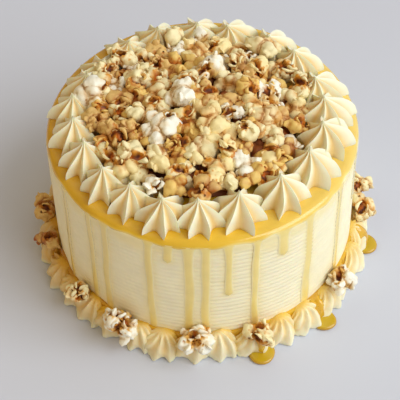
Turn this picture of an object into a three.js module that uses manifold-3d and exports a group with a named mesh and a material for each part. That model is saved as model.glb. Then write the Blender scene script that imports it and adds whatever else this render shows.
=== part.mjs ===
// Salted caramel cake: a tall round cake with a caramel glaze that drips down its side, a ring of piped
// rosettes round a heap of popcorn, a piped shell border round its foot, popcorn pressed into the border,
// and caramel pools beside it. Millimetres, +Z up, origin at the middle of the cake's underside.

import * as THREE from 'three';
import { mergeVertices } from 'three/addons/utils/BufferGeometryUtils.js';
import Module from 'manifold-3d';

const wasm = await Module();
wasm.setup();

// Driving dimensions: the iced cake, with a rounded top edge
const CAKE_RADIUS = 101;
const CAKE_HEIGHT = 104;
const CAKE_EDGE = 3;

// The gap between neighbours that touch, the number of flats round the cake, and a width past everything
const GAP = 0.3;
const AROUND = 48;
const BEYOND = 400;

// The glaze is a poured layer that thins out to a lip over the edge, and its drips run down the side:
// the angle in degrees where each drip runs, and how high above the foot it ends
const GLAZE_THICKNESS = 1.2;
const GLAZE_LIP = 2;
const GLAZE_LIP_THICKNESS = 0.4;
const DRIP_WIDTH = 6;
const DRIP_DEPTH = 0.7;
const DRIPS = [
  [-150, 22], [-135, 23], [-128, 22], [-110, 22], [-103, 86], [-96, 22], [-90, 23], [-82, 54],
  [-72, 23], [-61, 79], [-50, 22], [-32, 22], [-15, 60], [2, 23], [16, 82], [29, 22], [47, 24],
  [64, 70], [80, 23], [97, 50], [113, 22], [131, 84], [147, 23], [165, 22], [186, 64],
];

// Rosettes are piped by hand, so their ring is uneven: the angle in degrees and the radius where each one
// stands, its own radius, the turn in degrees of its ribs from straight outward, and how far its peak leans
// outward, the front one first
const ROSETTES = [
  [-92, 81, 17.5, 26, 0], [-75, 80, 18.5, 8, 0], [-53, 80, 18.5, 1, -1], [-34, 80, 19.5, 21, -2],
  [-14, 80, 20, 5, -3], [2, 80, 20, 13, -3], [17, 80, 19.5, 30, -3], [37, 80, 19.5, 10, -3],
  [55, 80, 19.5, 38, -3], [75, 80, 19.5, 22, -3.5], [92, 80, 19.5, 3, -3.5], [112, 80, 19, 33, -3.5],
  [129, 80, 18.5, 15, -3.5], [146, 81, 18, 41, -3], [159, 82, 17.5, 27, -1], [174, 83, 17, 0, 0],
  [189, 82, 17, 12, 0], [204, 81, 17, 20, 0], [221, 81, 16.5, 13, 0], [236, 82, 16.5, 20, 0],
  [252, 83, 17.5, 17, 0],
];
const ROSETTE_HEIGHT = 20.5;
const ROSETTE_RIBS = 8;
const ROSETTE_VALLEY = 0.6;
const ROSETTE_LEAN = 1.5;

// The popcorn heap lies on a low core. Its larger pieces are placed by hand, each by its x, its y and its
// width, and a golden-angle spiral fills in between them.
const LARGE_POPCORN = [
  [-16, 58, 17], [1, 70, 15], [8, 59, 17], [-3, 52, 17], [12, 46, 15], [22, 57, 18], [33, 50, 14],
  [43, 58, 19], [-30, 54, 16], [-42, 58, 14], [-53, 50, 16], [-45, 44, 14], [-62, 38, 14], [-40, 30, 18],
  [-54, 26, 15], [-17, 41, 15], [-28, 38, 15], [3, 28, 20], [19, 21, 17], [36, 33, 17], [52, 38, 18],
  [45, 11, 18], [30, 9, 16], [66, 22, 17], [60, 4, 17], [-15, 6, 19], [3, -3, 17], [-28, 13, 18],
  [-44, 12, 15], [-70, 15, 23], [17, -10, 14], [40, -13, 21], [-39, -7, 16], [-52, -2, 14],
  [-67, -7, 17], [-27, -22, 19], [-54, -20, 18], [-11, -18, 14], [-2, -34, 20], [14, -34, 18],
  [44, -36, 20], [55, -25, 16], [-39, -42, 22], [-57, -37, 17], [28, -47, 18], [38, -53, 14],
  [-14, -53, 17], [-31, -58, 17], [1, -58, 18], [16, -58, 17],
];
const HEAP_SHIFT = -3;
const HEAP_RADIUS = 66;
const HEAP_SPIRAL = 108;
const HEAP_SPACING = 11.3;
const HEAP_CORE_RADIUS = 66;
const HEAP_CORE_HEIGHT = 17;
const HEAP_CORE_EDGE = 6;
const HEAP_LEAN_RADIUS = 60;
const HEAP_LEAN = 0.6;
const GOLDEN_ANGLE = Math.PI * (3 - Math.sqrt(5));

// A popcorn piece is a few lobes burst out of a small middle
const KERNEL_SIZE = 16.5;
const KERNEL_SPREAD = 5;
const KERNEL_MIDDLE = 0.4;
const KERNEL_PUFF = 2;
const KERNEL_SEAT = 0.27;

// The shell border round the foot: drops of icing side by side, each longer along the border than across it
const SHELL_COUNT = 34;
const SHELL_RING = 104.5;
const SHELL_LENGTH = 26;
const SHELL_HALF_WIDTH = 9.8;
const SHELL_TOP = 19;
const SHELL_RIBS = 8;
const SHELL_VALLEY = 0.8;

// Popcorn pressed into the border, by angle in degrees
const BASE_POPCORN_ANGLES = [-167, -140, -120, -94, -72, -36, -1, 10, 41, 72, 103, 138, 177];
const BASE_POPCORN_RING = 110;
const BASE_POPCORN_HEIGHT = 20.5;
const BASE_POPCORN_SIZE = 17;

// Caramel that has run through the border
const POOL_ANGLES = [-71.5, -46.5, -9, 135];
const POOL_RING = 113;
const POOL_RADIUS = 9;
const POOL_THICKNESS = 2.4;

const RADIANS = Math.PI / 180;
const GLAZE_TOP = CAKE_HEIGHT + GAP + GLAZE_THICKNESS;
const TOPPING_FLOOR = GLAZE_TOP + GAP;

const icing = new THREE.MeshStandardMaterial({ color: 0xf1e6c2, roughness: 0.6, metalness: 0 });
const pipedIcing = new THREE.MeshStandardMaterial({ color: 0xf3e3b4, roughness: 0.55, metalness: 0 });
const caramel = new THREE.MeshStandardMaterial({ color: 0xe0b030, roughness: 0.15, metalness: 0 });
const popcorn = new THREE.MeshStandardMaterial({ color: 0xecdcae, roughness: 0.7, metalness: 0 });

// The same seed always gives the same row of numbers from 0 to 1
function seededRandom(seed) {
  let state = seed;
  return () => {
    state = (state * 16807) % 2147483647;
    return state / 2147483647;
  };
}

// A closed geometry becomes a solid once its shared corners are merged and its flat triangles dropped
function toSolid(geometry) {
  const bare = geometry.clone();
  bare.deleteAttribute('normal');
  bare.deleteAttribute('uv');
  const merged = mergeVertices(bare, 1e-4);
  const corners = merged.index.array;
  const triangles = [];
  for (let i = 0; i < corners.length; i += 3) {
    const [a, b, c] = [corners[i], corners[i + 1], corners[i + 2]];
    if (a !== b && b !== c && c !== a) {
      triangles.push(a, b, c);
    }
  }
  return new wasm.Manifold(new wasm.Mesh({
    numProp: 3,
    vertProperties: new Float32Array(merged.attributes.position.array),
    triVerts: new Uint32Array(triangles),
  }));
}

function toGeometry(solid) {
  const mesh = solid.getMesh();
  const geometry = new THREE.BufferGeometry();
  geometry.setAttribute('position', new THREE.BufferAttribute(new Float32Array(mesh.vertProperties), 3));
  geometry.setIndex(new THREE.BufferAttribute(new Uint32Array(mesh.triVerts), 1));
  return geometry;
}

// Cutting can shave off crumbs, so only the largest body is kept
function largestBody(solid) {
  const bodies = solid.decompose();
  bodies.sort((first, second) => second.volume() - first.volume());
  return bodies[0];
}

function addSolid(name, solid, material) {
  const mesh = new THREE.Mesh(toGeometry(solid), material);
  mesh.name = name;
  cakeGroup.add(mesh);
  return mesh;
}

// A profile of [radius, height] pairs turned round the vertical axis
function turned(profile, segments) {
  const points = profile.map(([radius, height]) => new THREE.Vector2(radius, height));
  return new THREE.LatheGeometry(points, segments).rotateX(Math.PI / 2);
}

// The rounded top edge of the cake, or of a skin that lies the given distance outside it
function edgeArc(offset, steps) {
  const points = [];
  for (let i = 0; i <= steps; i += 1) {
    const turn = (i / steps) * (Math.PI / 2);
    const reach = CAKE_EDGE + offset;
    points.push([
      CAKE_RADIUS - CAKE_EDGE + reach * Math.cos(turn),
      CAKE_HEIGHT - CAKE_EDGE + reach * Math.sin(turn),
    ]);
  }
  return points;
}

// All the room below a height
function roomBelow(height) {
  const room = new THREE.BoxGeometry(BEYOND, BEYOND, CAKE_HEIGHT);
  return toSolid(room.translate(0, 0, height - CAKE_HEIGHT / 2));
}

function makeCake() {
  return toSolid(turned([[0, 0], [CAKE_RADIUS, 0], ...edgeArc(0, 1), [0, CAKE_HEIGHT]], AROUND));
}

// One drip is a thin tongue, a little wider at its rounded lower end
function makeDrip(degrees, foot, width) {
  const top = CAKE_HEIGHT - CAKE_EDGE - 1;
  const half = width / 2;
  const end = 1.3 * half;
  const outline = [[-half, top], [-end, foot + 1.2 * end], [0, foot], [end, foot + 1.2 * end], [half, top]];
  const shape = new THREE.Shape(outline.map(([x, y]) => new THREE.Vector2(x, y)));
  const drip = new THREE.ExtrudeGeometry(shape, { depth: DRIP_DEPTH, bevelEnabled: false });
  drip.rotateX(Math.PI / 2).rotateZ(Math.PI / 2).translate(CAKE_RADIUS + GAP, 0, 0);
  return toSolid(drip.rotateZ(degrees * RADIANS));
}

function makeGlaze() {
  const lip = CAKE_HEIGHT - CAKE_EDGE - GLAZE_LIP;
  const profile = [
    [0, CAKE_HEIGHT + GAP], ...edgeArc(GAP, 1).reverse(), [CAKE_RADIUS + GAP, lip],
    [CAKE_RADIUS + GAP + GLAZE_LIP_THICKNESS, lip], ...edgeArc(GAP + GLAZE_THICKNESS, 2), [0, GLAZE_TOP],
  ];
  let glaze = toSolid(turned(profile, AROUND));
  const random = seededRandom(31);
  for (const [degrees, foot] of DRIPS) {
    glaze = glaze.add(makeDrip(degrees, foot, DRIP_WIDTH * (0.8 + 0.4 * random())));
  }
  return largestBody(glaze);
}

function rosettePlace(index) {
  const [degrees, radius, reach, turn, lean] = ROSETTES[index % ROSETTES.length];
  return { angle: degrees * RADIANS, radius, reach, turn: turn * RADIANS, lean };
}

// A rosette's rib: how far it reaches out at a height, both as parts of the whole. It swells out of its
// foot, rounds over at the shoulder and is drawn up to a thin peak.
const RIB_PROFILE = [[1, 0], [0.95, 0.26], [0.63, 0.56], [0.17, 0.79], [0, 1]];

// A star of icing: a turned dollop whose every other meridian is pressed in between the ribs
function makeStar(radius, height, leanX, leanY, turn) {
  const profile = [[0, 0], ...RIB_PROFILE.map(([reach, level]) => [reach * radius, level * height])];
  const star = turned(profile, 2 * ROSETTE_RIBS);
  const corners = star.attributes.position;
  for (let i = 0; i < corners.count; i += 1) {
    const x = corners.getX(i);
    const y = corners.getY(i);
    const level = corners.getZ(i) / height;
    const meridian = Math.round(Math.atan2(y, x) / (Math.PI / ROSETTE_RIBS));
    const press = Math.abs(meridian) % 2 === 1 ? ROSETTE_VALLEY : 1;
    corners.setX(i, x * press + leanX * level * level);
    corners.setY(i, y * press + leanY * level * level);
  }
  return toSolid(star.rotateZ(turn));
}

// The wedge of the ring that belongs to one rosette, with its point at the middle of the cake
function makeWedge(before, after, radius) {
  const reach = 60;
  const point = GAP / 2 / Math.sin((before + after) / 2);
  const shape = new THREE.Shape([
    new THREE.Vector2(point - radius, 0),
    new THREE.Vector2(reach, -(reach + radius - point) * Math.tan(before)),
    new THREE.Vector2(reach, (reach + radius - point) * Math.tan(after)),
  ]);
  const wedge = new THREE.ExtrudeGeometry(shape, { depth: 2 * ROSETTE_HEIGHT, bevelEnabled: false });
  return toSolid(wedge.translate(0, 0, -ROSETTE_HEIGHT / 2));
}

function addRosettes() {
  const random = seededRandom(77);
  for (let i = 0; i < ROSETTES.length; i += 1) {
    const { angle, radius, reach, turn, lean } = rosettePlace(i);
    const next = rosettePlace(i + 1).angle;
    const last = rosettePlace(i + ROSETTES.length - 1).angle;
    const after = ((next - angle + 2 * Math.PI) % (2 * Math.PI)) / 2;
    const before = ((angle - last + 2 * Math.PI) % (2 * Math.PI)) / 2;
    const height = ROSETTE_HEIGHT * (0.94 + 0.12 * random());
    const leanX = lean + ROSETTE_LEAN * (random() - 0.5) * 2;
    const leanY = ROSETTE_LEAN * (random() - 0.5) * 2;
    const star = makeStar(reach, height, leanX, leanY, turn);
    const rosette = largestBody(star.intersect(makeWedge(before, after, radius)));
    const mesh = addSolid(`rosette_${String(i + 1).padStart(2, '0')}`, rosette, pipedIcing);
    mesh.position.set(radius * Math.cos(angle), radius * Math.sin(angle), TOPPING_FLOOR);
    mesh.rotation.z = angle;
  }
}

// The lobes of one popcorn piece of the given width, round its own middle
function kernelLobes(size, random) {
  const count = random() < 0.5 ? 3 : 4;
  const turn = random() * 2 * Math.PI;
  const lobes = [];
  for (let i = 0; i < count; i += 1) {
    const around = turn + (i + 0.5 * (random() - 0.5)) * 2 * Math.PI / count;
    const lift = 1.6 * (random() - 0.45);
    const reach = size * (0.2 + 0.08 * random());
    const radius = size * (0.24 + 0.08 * random());
    lobes.push({
      x: reach * Math.cos(around) * Math.cos(lift),
      y: reach * Math.sin(around) * Math.cos(lift),
      z: reach * Math.sin(lift),
      radius,
    });
  }
  return lobes;
}

// A popcorn piece with few sides: each corner of a ball is drawn out to the lobes' surface and the given
// distance past it, and what would reach inside the given radius is pressed flat against it
function makeKernel(kernel, ball, past, inside) {
  const corners = ball.attributes.position;
  const direction = new THREE.Vector3();
  for (let i = 0; i < corners.count; i += 1) {
    direction.fromBufferAttribute(corners, i).normalize();
    let reach = KERNEL_MIDDLE * kernel.size;
    for (const lobe of kernel.lobes) {
      const along = direction.x * lobe.x + direction.y * lobe.y + direction.z * lobe.z;
      const offAxis = lobe.x ** 2 + lobe.y ** 2 + lobe.z ** 2 - along ** 2;
      if (offAxis < lobe.radius ** 2) {
        reach = Math.max(reach, along + Math.sqrt(lobe.radius ** 2 - offAxis));
      }
    }
    const corner = direction.multiplyScalar(reach + past).add(kernel.place);
    const press = Math.max(1, inside / Math.hypot(corner.x, corner.y));
    corners.setXYZ(i, corner.x * press, corner.y * press, corner.z);
  }
  return toSolid(ball);
}

// The heap's pieces as [x, y, width]: the large ones, and a smaller one at each place of the spiral that is
// clear of those before it
function heapPlaces(random) {
  const places = [...LARGE_POPCORN];
  for (let i = 0; i < HEAP_SPIRAL; i += 1) {
    const size = KERNEL_SIZE + KERNEL_SPREAD * (random() - 0.5);
    const out = HEAP_RADIUS * Math.sqrt((i + 0.5) / HEAP_SPIRAL);
    const x = HEAP_SHIFT + out * Math.cos(i * GOLDEN_ANGLE);
    const y = out * Math.sin(i * GOLDEN_ANGLE);
    if (places.every(([otherX, otherY]) => Math.hypot(x - otherX, y - otherY) > HEAP_SPACING)) {
      places.push([x, y, size]);
    }
  }
  return places;
}

// The pieces lie on a low dome, and those past its edge lean on the rosettes
function heapKernels() {
  const random = seededRandom(5);
  return heapPlaces(random).map(([x, y, size]) => {
    const share = Math.min(1, Math.hypot(x - HEAP_SHIFT, y) / HEAP_RADIUS);
    const lean = HEAP_LEAN * Math.max(0, Math.hypot(x, y) - HEAP_LEAN_RADIUS);
    const lift = HEAP_CORE_HEIGHT * (1 - share * share) + lean + 4 * (random() - 0.5);
    const place = { x, y, z: TOPPING_FLOOR + lift + KERNEL_SEAT * size };
    return { size, place, lobes: kernelLobes(size, random) };
  });
}

function makeHeap() {
  const core = turned([
    [0, 0], [HEAP_CORE_RADIUS, 0], [HEAP_CORE_RADIUS, HEAP_CORE_EDGE],
    [0.5 * HEAP_CORE_RADIUS, 0.8 * HEAP_CORE_HEIGHT], [0, HEAP_CORE_HEIGHT],
  ], 12);
  let heap = toSolid(core.translate(HEAP_SHIFT, 0, TOPPING_FLOOR));
  for (const kernel of heapKernels()) {
    heap = heap.add(makeKernel(kernel, new THREE.IcosahedronGeometry(1, 0), KERNEL_PUFF, 0));
  }
  heap = heap.subtract(roomBelow(TOPPING_FLOOR));
  for (let i = 0; i < ROSETTES.length; i += 1) {
    heap = heap.subtract(rosetteRoom(i));
  }
  return largestBody(heap);
}

// The room that one rosette takes up, ribs and valleys alike, whichever way its peak leans
function rosetteRoom(index) {
  const { angle, radius, reach, lean } = rosettePlace(index);
  const profile = RIB_PROFILE.map(([share, level]) => [
    1.05 * share * reach + GAP + (ROSETTE_LEAN + Math.abs(lean)) * level,
    1.06 * level * ROSETTE_HEIGHT + GAP,
  ]);
  const top = profile[profile.length - 1][1];
  const room = turned([[0, -1], [profile[0][0], -1], ...profile, [0, top]], 10);
  return toSolid(room.translate(radius * Math.cos(angle), radius * Math.sin(angle), TOPPING_FLOOR));
}

// One shell is a drop of icing squeezed out against the wall: ribs fan out from its top, down to a scalloped
// foot and along to its two ends, and the valleys between them are pressed in
function makeShell(angle, width, top) {
  const profile = [[0, -0.1], [1.02, -0.02], [0.86, 0.6], [0, 1]];
  const shell = new THREE.LatheGeometry(profile.map(([x, y]) => new THREE.Vector2(x, y)), 2 * SHELL_RIBS);
  const corners = shell.attributes.position;
  for (let i = 0; i < corners.count; i += 1) {
    const x = corners.getX(i);
    const z = corners.getZ(i);
    const meridian = Math.round(Math.atan2(z, x) / (Math.PI / SHELL_RIBS));
    const press = Math.abs(meridian) % 2 === 1 ? SHELL_VALLEY : 1;
    corners.setX(i, press * x * width);
    corners.setY(i, corners.getY(i) * top);
    corners.setZ(i, press * z * SHELL_LENGTH / 2);
  }
  return toSolid(shell.rotateX(Math.PI / 2).translate(SHELL_RING, 0, 0).rotateZ(angle));
}

// The shells fused into one ring, cut flat by the floor and the cake's wall, with room for what is pressed
// into it and for the pools that run under it
function makeBorder(pressed) {
  const random = seededRandom(12);
  let border = null;
  for (let i = 0; i < SHELL_COUNT; i += 1) {
    const angle = (i + 0.25 * (random() - 0.5)) * 2 * Math.PI / SHELL_COUNT;
    const width = SHELL_HALF_WIDTH * (0.93 + 0.18 * random());
    const top = SHELL_TOP * (0.94 + 0.14 * random());
    const shell = makeShell(angle, width, top);
    border = border === null ? shell : border.add(shell);
  }
  const wall = CAKE_RADIUS + GAP;
  const side = turned([[0, -1], [wall, -1], [wall, CAKE_HEIGHT], [0, CAKE_HEIGHT]], AROUND);
  border = border.subtract(roomBelow(0)).subtract(toSolid(side));
  for (const kernel of pressed) {
    border = border.subtract(makeKernel(kernel, new THREE.OctahedronGeometry(1, 1), 1.5 * GAP, 0));
  }
  for (const degrees of POOL_ANGLES) {
    border = border.subtract(makePool(degrees, GAP));
  }
  return largestBody(border);
}

function basePopcorn() {
  const random = seededRandom(9);
  return BASE_POPCORN_ANGLES.map((degrees) => {
    const angle = degrees * RADIANS;
    const size = BASE_POPCORN_SIZE * (0.9 + 0.25 * random());
    const out = BASE_POPCORN_RING + 3 * (random() - 0.5);
    const place = {
      x: out * Math.cos(angle),
      y: out * Math.sin(angle),
      z: BASE_POPCORN_HEIGHT + 3 * (random() - 0.5),
    };
    return { size, place, lobes: kernelLobes(size, random) };
  });
}

function makePool(degrees, grow) {
  const radius = POOL_RADIUS + grow;
  const top = POOL_THICKNESS + grow;
  const bottom = -grow;
  const pool = turned([[0, bottom], [radius, bottom], [radius - 1, top], [0, top]], 12);
  const angle = degrees * RADIANS;
  return toSolid(pool.translate(POOL_RING * Math.cos(angle), POOL_RING * Math.sin(angle), 0));
}

const cakeGroup = new THREE.Group();
addSolid('cake', makeCake(), icing);
addSolid('caramel_glaze', makeGlaze(), caramel);
addRosettes();
addSolid('popcorn_heap', makeHeap(), popcorn);

const pressed = basePopcorn();
const clearOfDrips = CAKE_RADIUS + 3 * GAP + DRIP_DEPTH;
pressed.forEach((kernel, i) => {
  const piece = makeKernel(kernel, new THREE.OctahedronGeometry(1, 1), 0, clearOfDrips);
  addSolid(`base_popcorn_${String(i + 1).padStart(2, '0')}`, piece, popcorn);
});
POOL_ANGLES.forEach((degrees, i) => {
  addSolid(`caramel_pool_${i + 1}`, makePool(degrees, 0), caramel);
});
addSolid('shell_border', makeBorder(pressed), pipedIcing);

export default cakeGroup;
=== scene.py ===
# Salted caramel cake, dressed for looks: combed icing, a caramel glaze with drips, piped rosettes round a
# heap of popcorn, and a piped shell border with popcorn and caramel pools at its foot. The pieces keep the
# places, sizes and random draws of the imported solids. Lengths are in millimetres until a mesh is made.

import math

import bmesh
import bpy
import numpy as np
from mathutils import Matrix, Vector


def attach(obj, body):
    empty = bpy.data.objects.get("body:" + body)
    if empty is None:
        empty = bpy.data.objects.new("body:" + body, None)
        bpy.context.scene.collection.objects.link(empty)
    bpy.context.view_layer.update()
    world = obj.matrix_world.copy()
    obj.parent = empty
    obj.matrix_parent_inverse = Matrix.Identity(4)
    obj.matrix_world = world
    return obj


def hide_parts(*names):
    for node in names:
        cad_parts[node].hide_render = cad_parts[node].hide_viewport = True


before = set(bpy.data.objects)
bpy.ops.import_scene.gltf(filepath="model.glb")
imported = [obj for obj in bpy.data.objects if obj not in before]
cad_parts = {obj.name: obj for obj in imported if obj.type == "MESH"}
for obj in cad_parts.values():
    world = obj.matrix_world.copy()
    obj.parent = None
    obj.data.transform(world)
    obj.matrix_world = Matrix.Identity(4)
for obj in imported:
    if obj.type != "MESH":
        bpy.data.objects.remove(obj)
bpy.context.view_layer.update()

MM = 0.001
BODY = "root"

# Faces that fold by more than this angle meet in a crisp edge
SHARP_FOLD = math.radians(65)

# The iced cake, and the ridges that a comb has left on its side
CAKE_RADIUS = 101
CAKE_HEIGHT = 104
CAKE_EDGE = 3
COMB_PITCH = 3.7
COMB_DEPTH = 0.42
COMB_FOOT = 12
COMB_HEAD = 99

# The glaze and its drips, as [angle in degrees, height of the drip's end]
GAP = 0.3
GLAZE_THICKNESS = 1.2
GLAZE_LIP = 2
DRIP_WIDTH = 6
DRIP_DEPTH = 0.7
DRIP_EDGE = 0.14
DRIP_FILM = 0.46
DRIPS = [
    [-150, 22], [-135, 23], [-128, 22], [-110, 22], [-103, 86], [-96, 22], [-90, 23], [-82, 54],
    [-72, 23], [-61, 79], [-50, 22], [-32, 22], [-15, 60], [2, 23], [16, 82], [29, 22], [47, 24],
    [64, 70], [80, 23], [97, 50], [113, 22], [131, 84], [147, 23], [165, 22], [186, 64],
]
GLAZE_TOP = CAKE_HEIGHT + GAP + GLAZE_THICKNESS
TOPPING_FLOOR = GLAZE_TOP + GAP

# Rosettes as [angle in degrees, radius of the ring where each one stands, its own radius, the turn in
# degrees of its ribs from straight outward, and how far its peak leans outward]
ROSETTES = [
    [-92, 81, 17.5, 26, 0], [-75, 80, 18.5, 8, 0], [-53, 80, 18.5, 1, -1], [-34, 80, 19.5, 21, -2],
    [-14, 80, 20, 5, -3], [2, 80, 20, 13, -3], [17, 80, 19.5, 30, -3], [37, 80, 19.5, 10, -3],
    [55, 80, 19.5, 38, -3], [75, 80, 19.5, 22, -3.5], [92, 80, 19.5, 3, -3.5], [112, 80, 19, 33, -3.5],
    [129, 80, 18.5, 15, -3.5], [146, 81, 18, 41, -3], [159, 82, 17.5, 27, -1], [174, 83, 17, 0, 0],
    [189, 82, 17, 12, 0], [204, 81, 17, 20, 0], [221, 81, 16.5, 13, 0], [236, 82, 16.5, 20, 0],
    [252, 83, 17.5, 17, 0],
]
ROSETTE_HEIGHT = 20.5
ROSETTE_RIBS = 8
ROSETTE_LEAN = 1.5
ROSETTE_SWIRL = 0.11
ROSETTE_PROFILE = [[1.0, 0], [1.0, 0.08], [0.94, 0.28], [0.77, 0.48], [0.5, 0.64], [0.2, 0.79], [0.07, 0.91], [0.02, 1]]

# The heap's larger popcorn pieces: x, y, width, tone, and how many hull openings each one shows
LARGE_POPCORN = [
    [-16, 58, 17, "white", 0], [1, 70, 15, "white", 0], [8, 59, 17, "yellow", 1],
    [-3, 52, 17, "yellow", 0], [12, 46, 15, "white", 0], [22, 57, 18, "cream", 0],
    [33, 50, 14, "white", 1], [43, 58, 19, "cream", 0], [-30, 54, 16, "tan", 1],
    [-42, 58, 14, "cream", 0], [-53, 50, 16, "cream", 1], [-45, 44, 14, "white", 0],
    [-62, 38, 14, "cream", 1], [-40, 30, 18, "cream", 0], [-54, 26, 15, "white", 0],
    [-17, 41, 15, "amber", 1], [-28, 38, 15, "tan", 1], [3, 28, 20, "white", 1],
    [19, 21, 17, "cream", 0], [36, 33, 17, "yellow", 2], [52, 38, 18, "cream", 1],
    [45, 11, 18, "white", 2], [30, 9, 16, "amber", 1], [66, 22, 17, "cream", 1],
    [60, 4, 17, "yellow", 0], [-15, 6, 19, "white", 0], [3, -3, 17, "yellow", 0],
    [-28, 13, 18, "cream", 0], [-44, 12, 15, "amber", 1], [-70, 15, 23, "white", 0],
    [17, -10, 14, "white", 1], [40, -13, 21, "cream", 0], [-39, -7, 16, "cream", 0],
    [-52, -2, 14, "cream", 1], [-67, -7, 17, "tan", 1], [-27, -22, 19, "white", 0],
    [-54, -20, 18, "tan", 1], [-11, -18, 14, "amber", 1], [-2, -34, 20, "cream", 0],
    [14, -34, 18, "yellow", 1], [44, -36, 20, "amber", 2], [55, -25, 16, "white", 0],
    [-39, -42, 22, "cream", 1], [-57, -37, 17, "cream", 1], [28, -47, 18, "white", 0],
    [38, -53, 14, "amber", 1], [-14, -53, 17, "cream", 1], [-31, -58, 17, "white", 1],
    [1, -58, 18, "yellow", 2], [16, -58, 17, "cream", 0],
]
HEAP_SHIFT = -3
HEAP_RADIUS = 66
HEAP_SPIRAL = 108
HEAP_SPACING = 11.3
HEAP_CORE_RADIUS = 66
HEAP_CORE_HEIGHT = 17
HEAP_CORE_EDGE = 6
HEAP_LEAN_RADIUS = 60
HEAP_LEAN = 0.6
GOLDEN_ANGLE = math.pi * (3 - math.sqrt(5))
KERNEL_SIZE = 16.5
KERNEL_SPREAD = 5
KERNEL_MIDDLE = 0.4
KERNEL_SEAT = 0.27
KERNEL_SPLAY = 1.15
KERNEL_PLUMP = 1.05
KERNEL_LEAD = 1.28

# The way most openings face, which is towards the viewer
SHOWING = np.array([0, -0.5, 0.86])

# How wide an opening is for the piece's size, and how far several openings in one piece stand apart
OPENING_WIDTH = 0.15
OPENING_SPREAD = 0.6

# Smaller pieces that show between the larger ones, and lie deeper
FILLING_RADIUS = 69
FILLING_SPIRAL = 330
FILLING_SPACING = 9.4
FILLING_SIZE = 14.8

# The shell border
SHELL_COUNT = 34
SHELL_RING = 104.5
SHELL_LENGTH = 26
SHELL_HALF_WIDTH = 9.8
SHELL_TOP = 19
SHELL_AXIS_HEIGHT = 5
SHELL_RIBS = 13
SHELL_GROOVE = 0.22
SHELL_FLARE = 2.2
SHELL_PROFILE = [[0, -0.5], [0.44, -0.46], [0.74, -0.3], [0.94, -0.08], [1, 0.12], [0.88, 0.32], [0.5, 0.43], [0, 0.46]]

# Popcorn pressed into the border: angle in degrees, tone, and how many hull openings each piece shows
BASE_POPCORN = [
    [-167, "tan", 1], [-140, "cream", 3], [-120, "white", 3], [-94, "white", 2], [-72, "cream", 2],
    [-36, "white", 1], [-1, "cream", 1], [10, "cream", 1], [41, "white", 2], [72, "cream", 2],
    [103, "yellow", 3], [138, "white", 2], [177, "tan", 1],
]
BASE_POPCORN_RING = 110
BASE_POPCORN_HEIGHT = 20.5
BASE_POPCORN_SIZE = 17

# Caramel that has run through the border, and how deep it lies in the shells' grooves
NOTCH_SINK = 0.88
POOL_ANGLES = [-71.5, -46.5, -9, 135]
POOL_RING = 113
POOL_RADIUS = 9
POOL_THICKNESS = 2.4

# Colours as the eye sees them, from 0 to 255
ICING_COLOUR = (248, 240, 206)
PIPED_COLOUR = (240, 240, 214)
# A painted shade for the hollows between piped ribs
PIPED_GROOVE_SHADE = (228, 188, 100)
BORDER_COLOUR = (244, 241, 212)
CARAMEL_PALE = (244, 222, 140)
CARAMEL_GOLD = (234, 191, 50)
CARAMEL_DARK = (176, 104, 16)
POOL_COLOUR = (200, 168, 32)
# Each popcorn tone as [its colour where lit, a darker copy painted where it lies in shade]
POPCORN_LIT_AND_SHADED_TONES = {
    "white": [(250, 249, 236), (228, 192, 106)],
    "cream": [(247, 237, 190), (214, 150, 46)],
    "yellow": [(248, 231, 172), (214, 146, 44)],
    "amber": [(237, 202, 116), (184, 94, 16)],
    "tan": [(227, 190, 118), (160, 80, 18)],
}
# Caramel stain on popcorn, which also serves as painted shade
POPCORN_STAIN_AND_SHADE = (222, 146, 26)
# Painted shade for the creases where popcorn bodies meet
POPCORN_CREASE_SHADE = (112, 42, 4)
HULL_DARK = (84, 30, 4)
HULL_ORANGE = (204, 108, 20)
# Painted shade for the heap's deep gaps: the core's brown, and a darker brown in its hollows
HEAP_CORE_SHADE_COLOUR = (142, 72, 16)
HEAP_CORE_HOLLOW_SHADE = (80, 30, 6)


def seeded_random(seed):
    """The same seed always gives the same row of numbers from 0 to 1"""
    state = seed

    def draw():
        nonlocal state
        state = (state * 16807) % 2147483647
        return state / 2147483647

    return draw


def linear(colour):
    """A colour from 0 to 255 as the linear light that a shader takes"""
    shares = [channel / 255 for channel in colour]
    return [share / 12.92 if share < 0.04045 else ((share + 0.055) / 1.055) ** 2.4 for share in shares]


def mixed(first, second, share):
    """Two rows of colours mixed by a share from 0 to 1 at each point"""
    share = np.clip(share, 0, 1)[:, None]
    return first * (1 - share) + second * share


def smooth_step(low, high, value):
    share = np.clip((value - low) / (high - low), 0, 1)
    return share * share * (3 - 2 * share)


def wobble(points, size, seed):
    """A smooth uneven value from about -1 to 1 at each point, with bumps of about the given size"""
    generator = np.random.default_rng(seed)
    total = np.zeros(len(points))
    waves = 14
    for _ in range(waves):
        direction = generator.normal(size=3)
        direction *= math.pi * generator.uniform(0.6, 1.4) / size / np.linalg.norm(direction)
        total += np.sin(points @ direction + generator.uniform(0, 2 * math.pi))
    return total * math.sqrt(1.0 / waves)


def smooth_curve(knots, steps):
    """A smooth curve through [x, y] knots, with the given number of points from one knot to the next"""
    knots = np.array(knots, float)
    padded = np.vstack([2 * knots[0] - knots[1], knots, 2 * knots[-1] - knots[-2]])
    points = []
    for i in range(1, len(padded) - 2):
        a, b, c, d = padded[i - 1:i + 3]
        for step in range(steps):
            t = step / steps
            points.append(0.5 * (2 * b + (c - a) * t + (2 * a - 5 * b + 4 * c - d) * t * t
                                 + (3 * b - a - 3 * c + d) * t ** 3))
    points.append(knots[-1])
    return np.array(points)


def grid_faces(rows, columns, closed_columns=True, closed_rows=False):
    """Faces between the points of a grid whose columns run anticlockwise and whose rows run up"""
    faces = []
    for row in range(rows if closed_rows else rows - 1):
        above = (row + 1) % rows
        for column in range(columns if closed_columns else columns - 1):
            beside = (column + 1) % columns
            faces.append((row * columns + column, row * columns + beside,
                          above * columns + beside, above * columns + column))
    return faces


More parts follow.
